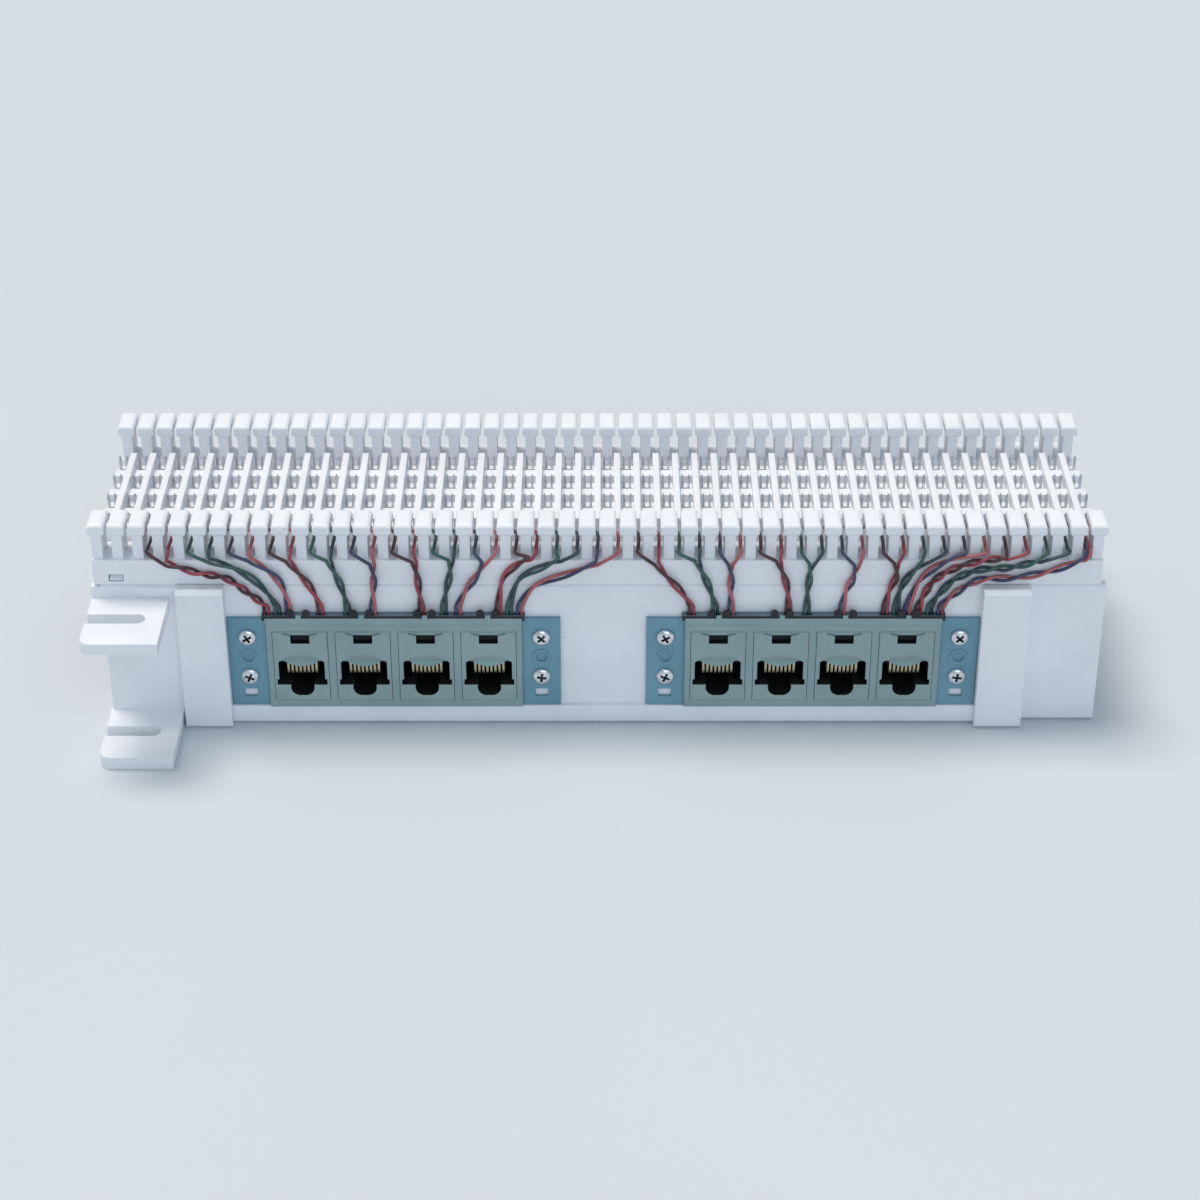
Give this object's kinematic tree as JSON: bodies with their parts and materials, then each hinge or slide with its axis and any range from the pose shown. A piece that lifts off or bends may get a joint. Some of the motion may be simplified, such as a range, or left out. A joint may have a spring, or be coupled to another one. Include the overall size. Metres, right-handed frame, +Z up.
{
  "type": "punch down wiring block",
  "caption": "Wiring block with rows of punch down clips between two combs, on a stand-off bracket with modular jacks in one wall and twisted pairs led down to them.",
  "frame": {"origin": "centre of the rows of clips across and along the block, on the plane of the bracket's underside", "axes": "+X along the rows of clips, +Y from the jack side to the far side, +Z up out of the clips"},
  "size_m": [0.2568, 0.1058, 0.0578],
  "materials": {
    "white_moulding": "fine satin moulding",
    "retainer_plastic": "plain moulding",
    "tinned_clip": "tinned strip",
    "teal_plastic": "satin moulding",
    "grey_plastic": "satin moulding",
    "jack_plastic": "satin moulding",
    "black_plastic": "satin moulding",
    "bright_screw": "bright plated",
    "gold_contact": "gold-plated spring wire",
    "wire_cover": null
  },
  "bodies": {
    "root": {"wiring_block": "white_moulding", "near_clips": "tinned_clip", "far_clips": "tinned_clip", "clip_retainer": "retainer_plastic", "mounting_bracket": "white_moulding", "left_jack_plate": "teal_plastic", "right_jack_plate": "teal_plastic", "left_jack_frame": "grey_plastic", "right_jack_frame": "grey_plastic", "left_wire_guide": "black_plastic", "right_wire_guide": "black_plastic", "left_plate_screws": "bright_screw", "right_plate_screws": "bright_screw", "left_jack_1": "jack_plastic", "left_jack_2": "jack_plastic", "left_jack_3": "jack_plastic", "left_jack_4": "jack_plastic", "right_jack_1": "jack_plastic", "right_jack_2": "jack_plastic", "right_jack_3": "jack_plastic", "right_jack_4": "jack_plastic", "left_contacts_1": "gold_contact", "left_contacts_2": "gold_contact", "left_contacts_3": "gold_contact", "left_contacts_4": "gold_contact", "right_contacts_1": "gold_contact", "right_contacts_2": "gold_contact", "right_contacts_3": "gold_contact", "right_contacts_4": "gold_contact", "left_wires_1": "wire_cover", "left_wires_2": "wire_cover", "left_wires_3": "wire_cover", "left_wires_4": "wire_cover", "right_wires_1": "wire_cover", "right_wires_2": "wire_cover", "right_wires_3": "wire_cover", "right_wires_4": "wire_cover"}
  },
  "joints": []
}
